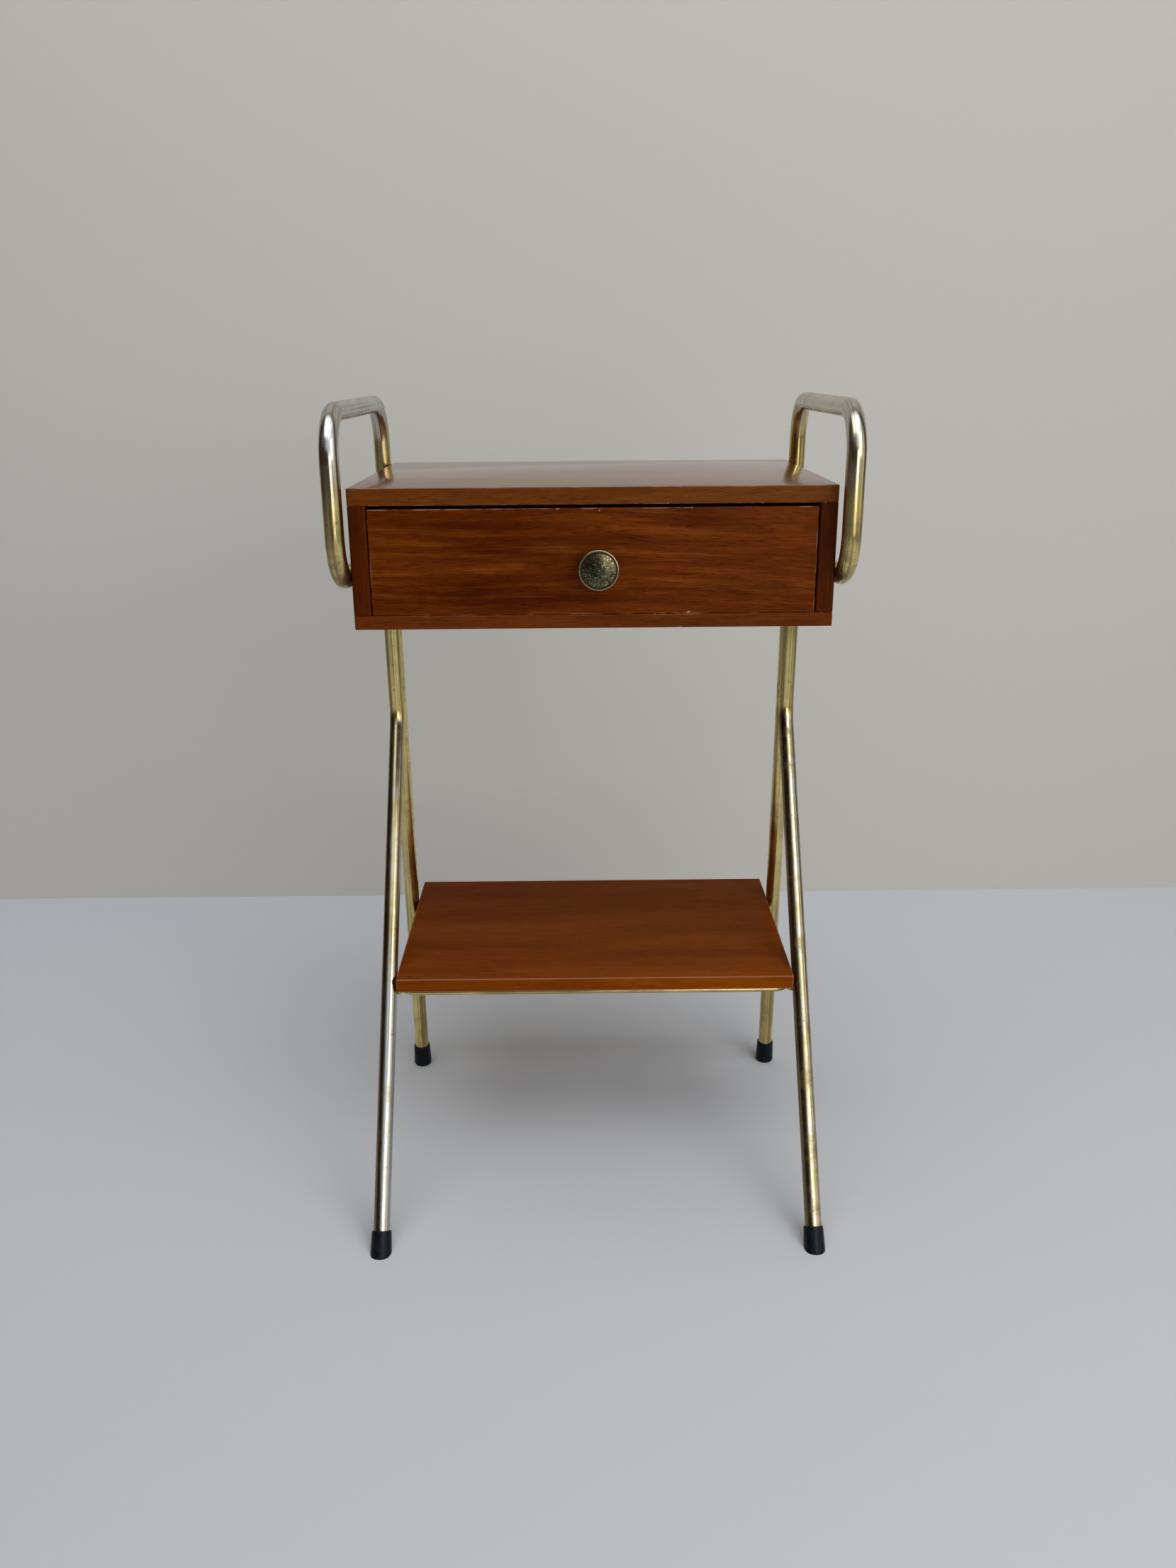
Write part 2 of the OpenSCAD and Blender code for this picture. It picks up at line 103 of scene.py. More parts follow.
def calculate(tree, operation, *values):
    """The result of a Math node."""
    inputs = {f"_{index}": value for index, value in enumerate(values)}
    return add_node(tree, "ShaderNodeMath", {"operation": operation}, **inputs).outputs["Value"]


def multiply(tree, first, second):
    """The product of two values."""
    return calculate(tree, "MULTIPLY", first, second)


def ramp(tree, value, low, high, start=0.0, end=1.0):
    """start where value is short of low, end where it is past high, even between."""
    return add_node(tree, "ShaderNodeMapRange", Value=value, From_Min=low, From_Max=high,
                    To_Min=start, To_Max=end).outputs["Result"]


def blend(tree, share, first, second, kind="MIX"):
    """Two colours mixed by share."""
    mix = add_node(tree, "ShaderNodeMix", {"data_type": "RGBA", "blend_type": kind}, Factor=share)
    for socket, colour in (("A", first), ("B", second)):
        if isinstance(colour, bpy.types.NodeSocket):
            tree.links.new(colour, mix.inputs[socket])
        else:
            mix.inputs[socket].default_value = colour
    return mix.outputs["Result"]


def axes(tree, vector):
    """The X, Y and Z of a vector."""
    return add_node(tree, "ShaderNodeSeparateXYZ", Vector=vector).outputs


def plane(name, width, depth, place, material):
    """A flat stage piece, turned and moved by the matrix place."""
    mesh = bpy.data.meshes.new(name)
    shape = bmesh.new()
    bmesh.ops.create_grid(shape, x_segments=1, y_segments=1, size=0.5)
    bmesh.ops.scale(shape, vec=(width, depth, 1), verts=shape.verts)
    bmesh.ops.transform(shape, matrix=place, verts=shape.verts)
    shape.to_mesh(mesh)
    shape.free()
    mesh.materials.append(material)
    piece = bpy.data.objects.new(name, mesh)
    bpy.context.scene.collection.objects.link(piece)


def soft_light(name, place, target, width, height, power, colour):
    """A large soft lamp at place, facing target."""
    lamp = bpy.data.lights.new(name, "AREA")
    lamp.shape = "RECTANGLE"
    lamp.size = width
    lamp.size_y = height
    lamp.energy = power
    lamp.color = colour
    holder = bpy.data.objects.new(name, lamp)
    holder.location = place
    holder.rotation_euler = (Vector(target) - Vector(place)).to_track_quat("-Z", "Y").to_euler()
    bpy.context.scene.collection.objects.link(holder)


floor_paint, tree, shader = new_material(
    "floor_paint", Base_Color=FLOOR_COLOUR, Roughness=0.9, Specular_IOR_Level=0.1)
plane("floor", FLOOR_SIZE, FLOOR_SIZE, Matrix.Identity(4), floor_paint)

# The wall is clear from behind, so that the table's back can be seen through it.
wall_paint, tree, shader = new_material("wall_paint", Base_Color=WALL_COLOUR, Roughness=0.95)
behind = add_node(tree, "ShaderNodeNewGeometry").outputs["Backfacing"]
clear = add_node(tree, "ShaderNodeBsdfTransparent").outputs["BSDF"]
one_sided = add_node(tree, "ShaderNodeMixShader", _0=behind, _1=shader.outputs["BSDF"], _2=clear)
tree.links.new(one_sided.outputs["Shader"], tree.nodes["Material Output"].inputs["Surface"])
upright = (Matrix.Translation((0, WALL_Y, WALL_HEIGHT / 2))
           @ Matrix.Rotation(math.pi / 2, 4, "X"))
plane("wall", WALL_WIDTH, WALL_HEIGHT, upright, wall_paint)

for lamp in LAMPS:
    soft_light(*lamp)

world = bpy.data.worlds.new("surroundings")
bpy.context.scene.world = world
world.use_nodes = True
tree = world.node_tree
toward = axes(tree, add_node(tree, "ShaderNodeTexCoord").outputs["Generated"])
raised = calculate(tree, "MULTIPLY_ADD", calculate(tree, "MAXIMUM", toward["X"], 0.0),
                   SKYLINE_FALL_TO_RIGHT, toward["Z"])
open_sky = multiply(tree, ramp(tree, raised, *SKYLINE), ramp(tree, toward["Y"], *SKY_STARTS_IN_FRONT))
sky_share = multiply(tree, open_sky, ramp(tree, toward["X"], *SKY_LEFT_TO_RIGHT, *SKY_SHARES))
sky = blend(tree, ramp(tree, toward["Z"], *SKY_TONES), LOW_SKY_COLOUR, SKY_COLOUR)
reflected = blend(tree, sky_share, DIM_COLOUR, sky)
seen_directly = add_node(tree, "ShaderNodeLightPath").outputs["Is Camera Ray"]
background = tree.nodes["Background"]
tree.links.new(blend(tree, seen_directly, reflected, BACKDROP_COLOUR), background.inputs["Color"])
background.inputs["Strength"].default_value = 1.0

bpy.context.scene.view_settings.view_transform = "Standard"


# ---- Camera -----------------------------------------------------------------
# It stands in front of the table at sitting height and looks down on it, with
# the wide lens of a telephone.
CAMERA_PLACE = (-0.0102, -1.0911, 0.7639)
CAMERA_DOWN = math.radians(18.95)
CAMERA_TO_RIGHT = math.radians(0.28)
CAMERA_ROLL = math.radians(-0.45)
CAMERA_LENS = 28.07
SENSOR_WIDTH = 36

camera_data = bpy.data.cameras.new("camera")
camera_data.sensor_width = SENSOR_WIDTH
camera_data.lens = CAMERA_LENS
camera = bpy.data.objects.new("camera", camera_data)
camera.matrix_world = (
    Matrix.Translation(CAMERA_PLACE)
    @ Matrix.Rotation(-CAMERA_TO_RIGHT, 4, "Z")
    @ Matrix.Rotation(math.pi / 2 - CAMERA_DOWN, 4, "X")
    @ Matrix.Rotation(CAMERA_ROLL, 4, "Z"))
bpy.context.scene.collection.objects.link(camera)
bpy.context.scene.camera = camera


# ---- Case boards ------------------------------------------------------------
# Mahogany boards, dowelled at their corners and varnished. Their arrises are
# just broken with fine paper, and rubbed and chipped down to pale wood.
ARRIS = 0.0007
RIM_SEARCH = 0.0016
ARRIS_STEPS = 3
TOP_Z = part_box("top_panel")[1].z
VARNISH_FROM = TOP_Z - 0.0002
VARNISH_FADE = 0.001

ALONG_X = (0, 0, 0)
ALONG_Y = (0, 0, math.pi / 2)
ALONG_Z = (0, math.pi / 2, 0)
GRAIN_WANDER = (0.0, 0.022, 0.022)

AMBER = (1.0, 0.50, 0.22, 1)
BARE_WOOD = (0.42, 0.22, 0.14, 1)
FIBRE_DARK = (0.72, 0.68, 0.64, 1)
FIBRE_LIGHT = (1.24, 1.22, 1.18, 1)
OPEN_PORE = (0.30, 0.26, 0.24, 1)
# Each wood's dark and middle bands, and its light streaks.
CASE_WOOD = ((0.085, 0.0215, 0.0028, 1), (0.148, 0.0420, 0.0070, 1), (0.235, 0.080, 0.017, 1))
SIDE_WOOD = ((0.034, 0.0050, 0.0004, 1), (0.066, 0.0108, 0.0009, 1), (0.110, 0.026, 0.0035, 1))
BASE_WOOD = ((0.062, 0.0120, 0.0018, 1), (0.120, 0.0260, 0.0042, 1), (0.190, 0.055, 0.011, 1))


def named_sockets(group, inputs, outputs):
    """Gives a node group its inputs and outputs, and returns its input sockets."""
    kinds = {"vector": "NodeSocketVector", "colour": "NodeSocketColor", "value": "NodeSocketFloat"}
    for name, kind in inputs:
        group.interface.new_socket(name, in_out="INPUT", socket_type=kinds[kind])
    for name, kind in outputs:
        group.interface.new_socket(name, in_out="OUTPUT", socket_type=kinds[kind])
    return group.nodes.new("NodeGroupInput").outputs


def put_out(group, **results):
    """Links a node group's results to its outputs."""
    out = group.nodes.new("NodeGroupOutput")
    for name, socket in results.items():
        group.links.new(socket, out.inputs[name])


def place_on(tree):
    """Object coordinates, which are the same as the table's."""
    return add_node(tree, "ShaderNodeTexCoord").outputs["Object"]


def noise(tree, vector, scale, detail, roughness=0.5):
    """Cloudy noise round 0.5, with scale clouds to the metre."""
    return add_node(tree, "ShaderNodeTexNoise", Vector=vector, Scale=scale, Detail=detail,
                    Roughness=roughness).outputs["Fac"]


def dress(tree, shader, colour, height, strength, depth):
    """Gives a shader its colour and its fine relief."""
    relief = add_node(tree, "ShaderNodeBump", Height=height, Strength=strength, Distance=depth)
    tree.links.new(colour, shader.inputs["Base Color"])
    tree.links.new(relief.outputs["Normal"], shader.inputs["Normal"])


def grain_group():
    """Wood grain along X: broad bands, broken streaks, fine fibres and short pores."""
    group = bpy.data.node_groups.new("wood_grain", "ShaderNodeTree")
    given = named_sockets(
        group,
        (("Vector", "vector"), ("Dark", "colour"), ("Mid", "colour"), ("Light", "colour"),
         ("Streaks", "value"), ("Pores", "value")),
        (("Color", "colour"), ("Height", "value")))
    wander = add_node(group, "ShaderNodeTexNoise", Vector=given["Vector"], Scale=3.0, Detail=1.0)
    wandered = add_node(group, "ShaderNodeVectorMath", {"operation": "MULTIPLY_ADD"},
                        _0=wander.outputs["Color"], _1=GRAIN_WANDER, _2=given["Vector"])

    def stretched(along, across, detail, roughness):
        """Noise with this many clouds to the metre along and across the grain."""
        place = add_node(group, "ShaderNodeMapping", Vector=wandered.outputs["Vector"],
                         Scale=(along, across, across))
        return noise(group, place.outputs["Vector"], 1.0, detail, roughness)

    bands = ramp(group, stretched(3.4, 24.0, 4.0, 0.6), 0.34, 0.64)
    streaks = ramp(group, stretched(9.0, 210.0, 4.0, 0.62), 0.46, 0.80)
    breaks = ramp(group, stretched(13.0, 44.0, 4.0, 0.62), 0.34, 0.60)
    fibres = stretched(38.0, 1000.0, 3.0, 0.65)
    pores = ramp(group, stretched(100.0, 1700.0, 1.0, 0.5), 0.58, 0.68)

    colour = blend(group, bands, given["Dark"], given["Mid"])
    shown = multiply(group, multiply(group, streaks, given["Streaks"]), breaks)
    colour = blend(group, shown, colour, given["Light"])
    shading = blend(group, ramp(group, fibres, 0.34, 0.68), FIBRE_DARK, FIBRE_LIGHT)
    colour = blend(group, 0.75, colour, shading, "MULTIPLY")
    open_pores = multiply(group, pores, given["Pores"])
    colour = blend(group, open_pores, colour, OPEN_PORE, "MULTIPLY")
    put_out(group, Color=colour, Height=calculate(group, "SUBTRACT", fibres, open_pores))
    return group


def rubbed_edges_group():
    """Where the twelve edges of a board between Low and High are rubbed or chipped."""
    group = bpy.data.node_groups.new("rubbed_edges", "ShaderNodeTree")
    given = named_sockets(
        group,
        (("Vector", "vector"), ("Low", "vector"), ("High", "vector"), ("Reach", "value"),
         ("Evenness", "value")),
        (("Rubbed", "value"), ("Chipped", "value")))
    from_low = add_node(group, "ShaderNodeVectorMath", {"operation": "SUBTRACT"},
                        _0=given["Vector"], _1=given["Low"])
    from_high = add_node(group, "ShaderNodeVectorMath", {"operation": "SUBTRACT"},
                         _0=given["High"], _1=given["Vector"])
    inside = add_node(group, "ShaderNodeVectorMath", {"operation": "MINIMUM"},
                      _0=from_low.outputs["Vector"], _1=from_high.outputs["Vector"])
    parts = axes(group, inside.outputs["Vector"])

    # An edge is near where two of the three distances are small, so this is the
    # middle one of the three.
    nearer = calculate(group, "MINIMUM", parts["X"], parts["Y"])
    farther = calculate(group, "MAXIMUM", parts["X"], parts["Y"])
    from_edge = calculate(group, "MAXIMUM", nearer, calculate(group, "MINIMUM", farther, parts["Z"]))

    patchy = ramp(group, noise(group, given["Vector"], 45.0, 5.0, 0.65), 0.46, 0.66)
    patchy = calculate(group, "MAXIMUM", patchy, given["Evenness"])
    rubbed_width = multiply(group, given["Reach"], patchy)
    spots = ramp(group, noise(group, given["Vector"], 150.0, 2.0), 0.70, 0.78)
    chip_width = multiply(group, given["Reach"], multiply(group, spots, 2.6))
    put_out(group, Rubbed=calculate(group, "LESS_THAN", from_edge, rubbed_width),
            Chipped=calculate(group, "LESS_THAN", from_edge, chip_width))
    return group


wood_grain = grain_group()
rubbed_edges = rubbed_edges_group()


def wood_material(name, colours, shift, turn, streaks, pores, roughness, bump, coat=0.0,
                  coat_from=None, sheen=0.12, board=None, reach=0.0009, rubbed=0.3,
                  evenness=0.0, painted_light_to_front=0.0):
    """Wood whose grain runs along X before turn.

    coat is its varnish, which may start only at the height coat_from, and sheen
    the wood's own specular level. A board's edges are rubbed to bare wood by the
    share rubbed, as far in as reach, in patches or evenly. The last argument is
    how much lighter the board is painted in front than behind: painted light in
    front and painted shade at the back, under the case.
    """
    material, tree, shader = new_material(
        name, Roughness=roughness, Specular_Tint=AMBER, Specular_IOR_Level=sheen,
        Coat_Weight=coat, Coat_Roughness=0.10)
    coordinates = place_on(tree)
    place = add_node(tree, "ShaderNodeMapping", Vector=coordinates, Location=shift, Rotation=turn)
    grain = add_node(tree, "ShaderNodeGroup", {"node_tree": wood_grain},
                     Vector=place.outputs["Vector"], Dark=colours[0], Mid=colours[1],
                     Light=colours[2], Streaks=streaks, Pores=pores)
    colour = grain.outputs["Color"]
    if board:
        low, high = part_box(board)
        # Painted light and shade: lighter in front, darker at the back under the case.
        if painted_light_to_front:
            light = ramp(tree, axes(tree, coordinates)["Y"], high.y, low.y, 1 - painted_light_to_front, 1 + painted_light_to_front)
            colour = blend(tree, 1.0, colour, light, "MULTIPLY")
        edges = add_node(tree, "ShaderNodeGroup", {"node_tree": rubbed_edges},
                         Vector=coordinates, Low=low, High=high, Reach=reach, Evenness=evenness)
        colour = blend(tree, multiply(tree, edges.outputs["Rubbed"], rubbed), colour, BARE_WOOD)
        colour = blend(tree, multiply(tree, edges.outputs["Chipped"], 0.7), colour, BARE_WOOD)
        dulled = ramp(tree, edges.outputs["Rubbed"], 0.0, 1.0, roughness, 0.55)
        tree.links.new(dulled, shader.inputs["Roughness"])
    if coat_from:
        varnished = ramp(tree, axes(tree, coordinates)["Z"], coat_from - VARNISH_FADE, coat_from)
        tree.links.new(multiply(tree, varnished, coat), shader.inputs["Coat Weight"])
    dress(tree, shader, colour, grain.outputs["Height"], bump, 0.0003)
    return material


def soften(node, material, body):
    """A copy of a CAD board in its place, with its outer edges bevelled."""
    low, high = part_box(node)
    shape = bmesh.new()
    shape.from_mesh(nodes[node].data)
    bmesh.ops.remove_doubles(shape, verts=shape.verts, dist=1e-6)
    bmesh.ops.dissolve_limit(shape, angle_limit=math.radians(1), verts=shape.verts, edges=shape.edges)

    def on_rim(edge):
        middle = (edge.verts[0].co + edge.verts[1].co) / 2
        near = sum(min(middle[k] - low[k], high[k] - middle[k]) < RIM_SEARCH for k in range(3))
        return near >= 2 and len(edge.link_faces) == 2 and edge.calc_face_angle() > math.radians(40)

    bmesh.ops.bevel(shape, geom=[edge for edge in shape.edges if on_rim(edge)], offset=ARRIS,
                    segments=ARRIS_STEPS, profile=0.5, affect="EDGES", material=-1, clamp_overlap=True)
    mesh = bpy.data.meshes.new(node + "_finished")
    shape.to_mesh(mesh)
    shape.free()
    mesh.materials.append(material)
    piece = bpy.data.objects.new(node + "_finished", mesh)
    bpy.context.scene.collection.objects.link(piece)
    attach(piece, body)
    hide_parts(node)


top_wood = wood_material(
    "mahogany_top", CASE_WOOD, shift=(0.1, 0.2, 0.0), turn=ALONG_X, streaks=0.35, pores=0.5,
    roughness=0.30, bump=0.05, coat=0.85, coat_from=VARNISH_FROM, board="top_panel")
soften("top_panel", top_wood, "table")
base_wood = wood_material(
    "mahogany_base", BASE_WOOD, shift=(0.7, 0.1, 0.2), turn=ALONG_X, streaks=0.35, pores=0.5,
    roughness=0.42, bump=0.08, board="base_panel", reach=0.0005)
soften("base_panel", base_wood, "table")
for panel in ("left_side_panel", "right_side_panel"):
    side_wood = wood_material(
        "mahogany_" + panel, SIDE_WOOD, shift=(0.3, 0.0, 0.7), turn=ALONG_Z, streaks=0.25, pores=0.5,
        roughness=0.42, bump=0.08, board=panel, reach=0.0005)
    soften(panel, side_wood, "table")


# ---- Back board, dowels, guides and stops -----------------------------------
# Plain wood inside the case: a thin plywood back, beech dowels in the corner
# joints, and beech strips and blocks that lead the drawer and stop it.
BEECH = ((0.30, 0.17, 0.085, 1), (0.45, 0.28, 0.15, 1), (0.60, 0.42, 0.25, 1))
PLY = ((0.28, 0.15, 0.07, 1), (0.40, 0.24, 0.12, 1), (0.52, 0.35, 0.20, 1))


def paint(material, *names):
    """Gives CAD nodes one material."""
    for name in names:
        slots = nodes[name].data.materials
        slots.clear()
        slots.append(material)


beech = wood_material("beech", BEECH, shift=(0, 0, 0), turn=ALONG_Y, streaks=0.5, pores=0.4,
                      roughness=0.6, bump=0.15)
beech_across = wood_material("beech_across", BEECH, shift=(0, 0, 0), turn=ALONG_X, streaks=0.5,
                             pores=0.4, roughness=0.6, bump=0.15)
plywood = wood_material("plywood", PLY, shift=(0.4, 0, 0), turn=ALONG_X, streaks=0.5, pores=0.6,
                        roughness=0.65, bump=0.2)
paint(beech, "left_drawer_guide", "right_drawer_guide", "drawer_left_side", "drawer_right_side")
paint(beech_across, "case_dowels", "drawer_stops", "drawer_back")
paint(plywood, "back_panel", "drawer_bottom")


# ---- Drawer front -----------------------------------------------------------
# One mahogany board, set in flush with the case. Its grain is the liveliest on
# the table, with broken orange streaks that run a little down to the right.
FRONT_WOOD = ((0.052, 0.0070, 0.0006, 1), (0.131, 0.0238, 0.0019, 1), (0.232, 0.060, 0.0060, 1))
FRONT_SLANT = (0, math.radians(-1.6), 0)

front_wood = wood_material(
    "mahogany_front", FRONT_WOOD, shift=(0.05, 0.6, 0.31), turn=FRONT_SLANT, streaks=0.85, pores=0.7,
    roughness=0.36, bump=0.08, board="drawer_front", reach=0.0010, rubbed=0.34)
soften("drawer_front", front_wood, "drawer")


# ---- Shelf ------------------------------------------------------------------
# One mahogany board with broad soft figure, between the legs and on the rod. It
# is painted lighter in front and darker behind, as painted shade under the case.
# Plain steel pins hold its ends in the legs.
SHELF_WOOD = ((0.125, 0.0235, 0.0012, 1), (0.192, 0.0435, 0.0026, 1), (0.258, 0.073, 0.007, 1))
STEEL_DARK = (0.30, 0.29, 0.27, 1)
STEEL_LIGHT = (0.62, 0.61, 0.58, 1)

shelf_wood = wood_material(
    "mahogany_shelf", SHELF_WOOD, shift=(0.8, 0.1, 0.0), turn=ALONG_X, streaks=0.25, pores=0.35,
    roughness=0.30, bump=0.04, sheen=0.015, board="shelf", reach=0.0013, rubbed=0.36, evenness=0.75,
    painted_light_to_front=0.17)
soften("shelf", shelf_wood, "table")

plain_steel, tree, shader = new_material("plain_steel", Roughness=0.35, Metallic=1.0)
steel_stain = noise(tree, place_on(tree), 400.0, 3.0)
tree.links.new(blend(tree, steel_stain, STEEL_DARK, STEEL_LIGHT), shader.inputs["Base Color"])
paint(plain_steel, "shelf_pins")


# ---- Side frames ------------------------------------------------------------
# Each is one length of drawn brass tube, bent cold: front leg, waist, loop round
# the case, handle and rear leg. The lacquer is nearly gone. The brass is gold and
# olive where it is sheltered and silvery where it is rubbed, with drawn lines.
TUBE_R = 0.0075
TUBE_SIDES = 64
TUBE_STEP = 0.012
BEND_R = 0.037
BEND_STEP = 4
FRONT_LEAN = math.radians(33.8)
REAR_LEAN = math.radians(2.66)
LOOP_Z = 0.603
HANDLE_Z = 0.731
RUNS_APART = 0.0153 / math.cos(REAR_LEAN)
TUBE_END = 0.008
frame_low, frame_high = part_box("right_side_frame")
FRAME_X = (frame_low.x + frame_high.x) / 2
CASE_FRONT_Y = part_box("drawer_front")[0].y
UPRIGHT_Y = CASE_FRONT_Y - 0.017
FRONT_FOOT_Y = CASE_FRONT_Y - 0.045
REAR_FOOT_Y = (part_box("rear_left_foot")[0].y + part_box("rear_left_foot")[1].y) / 2
WAIST_Z = ((REAR_FOOT_Y - RUNS_APART - FRONT_FOOT_Y)
           / (math.tan(FRONT_LEAN) + math.tan(REAR_LEAN)))

BRASS_GOLD = (0.86, 0.69, 0.29, 1)
BRASS_OLIVE = (0.53, 0.44, 0.18, 1)
BRASS_BROWN = (0.30, 0.19, 0.07, 1)
BRASS_DARK = (0.075, 0.050, 0.022, 1)
BRASS_SILVER = (0.51, 0.495, 0.45, 1)
BRASS_TARNISH = (0.26, 0.20, 0.085, 1)
BRASS_RUST = (0.36, 0.12, 0.03, 1)
# Painted dark reflection, for the dark band down the left of each front leg.
BRASS_DARK_REFLECTION = (0.150, 0.105, 0.055, 1)

# Where the brass is worn and stained, and where a dark reflection is painted on
# the front legs: each pair runs from none to all of it. The front legs lie
# before a plane that leans back by PARTING_SLOPE.
PARTING_SLOPE = 0.305
IN_FRONT_OF_PARTING = (0.004, -0.016)
UNDER_WAIST = (0.434, 0.424)
MOST_TRODDEN = (0.30, 0.12)
OVER_TOP = (0.640, 0.690)
AWAY_FROM_BACK = (0.122, 0.095)
LOOP_BELOW = (0.665, 0.625)
LOOP_ABOVE = (0.585, 0.600)
LEFT = (0.1, -0.1)
RIGHT = (-0.1, 0.1)
# Where the painted dark reflection ends, round the left of each front leg.
DARK_REFLECTION_EDGE = (0.12, -0.06)


def rear_y(z):
    """Depth of the rear leg's centre line at height z."""
    return REAR_FOOT_Y - z * math.tan(REAR_LEAN)


def bent_tube(name, corners, bend, radius, across, sides, material):
    """A round bar through corners in one plane, whose normal is across.

    Its skin attribute holds the way round and the way along it, so that marks
    can follow the tube through its bends.
    """
    shape = bmesh.new()
    skin = shape.verts.layers.float_vector.new("skin")

    def mark(verts, centre, along, travelled):
        level = along.cross(across)
        for vert in verts:
            out = (vert.co - centre) / radius
            vert[skin] = (out.dot(across), out.dot(level), travelled)

    def grow(edges):
        grown = bmesh.ops.extrude_edge_only(shape, edges=edges)["geom"]
        return ([item for item in grown if isinstance(item, bmesh.types.BMVert)],
                [item for item in grown if isinstance(item, bmesh.types.BMEdge)])

    along = (corners[1] - corners[0]).normalized()
    here = corners[0]
    turned = Matrix.Translation(here) @ along.to_track_quat("Z", "Y").to_matrix().to_4x4()
    ring = bmesh.ops.create_circle(shape, segments=sides, radius=radius, matrix=turned)["verts"]
    mark(ring, here, along, 0.0)
    edges = list(shape.edges)
    travelled = 0.0
    last = len(corners) - 1
    for index in range(1, len(corners)):
        along = (corners[index] - corners[index - 1]).normalized()
        stop = corners[index]
        if index < last:
            onward = (corners[index + 1] - corners[index]).normalized()
            angle = along.angle(onward)
            stop = corners[index] - along * bend * math.tan(angle / 2)
        length = (stop - here).length
        steps = max(3, round(length / TUBE_STEP))
        for step in range(steps):
            verts, edges = grow(edges)
            bmesh.ops.translate(shape, verts=verts, vec=along * length / steps)
            travelled += length / steps
            here = here + along * length / steps
            mark(verts, here, along, travelled)
        if index < last:
            axis = along.cross(onward).normalized()
            middle = here + axis.cross(along) * bend
            steps = max(2, math.ceil(math.degrees(angle) / BEND_STEP))
            turn = Matrix.Rotation(angle / steps, 3, axis)
            for step in range(steps):
                verts, edges = grow(edges)
                bmesh.ops.rotate(shape, cent=middle, matrix=turn, verts=verts)
                travelled += bend * angle / steps
                here = middle + turn @ (here - middle)
                along = turn @ along
                mark(verts, here, along, travelled)
    bmesh.ops.holes_fill(shape, edges=shape.edges, sides=sides)
    bmesh.ops.recalc_face_normals(shape, faces=shape.faces)
    for face in shape.faces:
        face.smooth = len(face.verts) == 4
    mesh = bpy.data.meshes.new(name)
    shape.to_mesh(mesh)
    shape.free()
    mesh.materials.append(material)
    piece = bpy.data.objects.new(name, mesh)
    bpy.context.scene.collection.objects.link(piece)
    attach(piece, "table")
    return piece


def patina_group():
    """Old bare brass on a tube: its colour, roughness and relief.

    Skin is the way round and along the tube, Rub is where hands and feet rub
    it silvery, Stain is how much of it is tarnished, and the last input is
    where a dark reflection is painted on.
    """
    group = bpy.data.node_groups.new("brass_patina", "ShaderNodeTree")
    given = named_sockets(
        group,
        (("Vector", "vector"), ("Skin", "vector"), ("Rub", "value"), ("Stain", "value"),
         ("Brown", "value")),
        (("Color", "colour"), ("Roughness", "value"), ("Height", "value")))
    rub, stain = given["Rub"], given["Stain"]

    def drawn(round_scale, along_scale, detail):
        """Noise in long lines down the tube."""
        place = add_node(group, "ShaderNodeMapping", Vector=given["Skin"],
                         Scale=(round_scale, round_scale, along_scale))
        return noise(group, place.outputs["Vector"], 1.0, detail, 0.55)

    lines = drawn(6.0, 3.0, 4.0)
    stripes = drawn(2.0, 2.0, 2.0)
    clouds = noise(group, given["Vector"], 24.0, 5.0, 0.62)
    patches = noise(group, given["Vector"], 46.0, 5.0, 0.68)
    rust = noise(group, given["Vector"], 70.0, 4.0, 0.6)
    specks = noise(group, given["Vector"], 230.0, 3.0, 0.65)

    metal = blend(group, ramp(group, clouds, 0.36, 0.64), BRASS_OLIVE, BRASS_GOLD)
    metal = blend(group, multiply(group, ramp(group, stripes, 0.53, 0.58), 0.75), metal, BRASS_BROWN)
    uneven_rub = calculate(group, "ADD", rub, calculate(group, "SUBTRACT", clouds, 0.5))
    metal = blend(group, ramp(group, uneven_rub, 0.35, 0.75), metal, BRASS_SILVER)
    # Painted dark reflection down the left of the front legs.
    metal = blend(group, given["Brown"], metal, BRASS_DARK_REFLECTION)
    metal = blend(group, multiply(group, ramp(group, lines, 0.55, 0.64), 0.65), metal, BRASS_DARK)
    spread = calculate(group, "MULTIPLY_ADD", stain, 0.12, patches)
    tarnish = multiply(group, ramp(group, spread, 0.57, 0.72), stain)
    metal = blend(group, tarnish, metal, BRASS_TARNISH)
    metal = blend(group, multiply(group, ramp(group, specks, 0.66, 0.72), 0.7), metal, BRASS_DARK)
    metal = blend(group, multiply(group, ramp(group, rust, 0.69, 0.74), stain), metal, BRASS_RUST)
    rough = calculate(group, "MULTIPLY_ADD", tarnish, 0.25, ramp(group, clouds, 0.3, 0.7, 0.15, 0.28))
    put_out(group, Color=metal, Roughness=rough,
            Height=calculate(group, "MULTIPLY_ADD", specks, 0.5, lines))
    return group


brass_patina = patina_group()


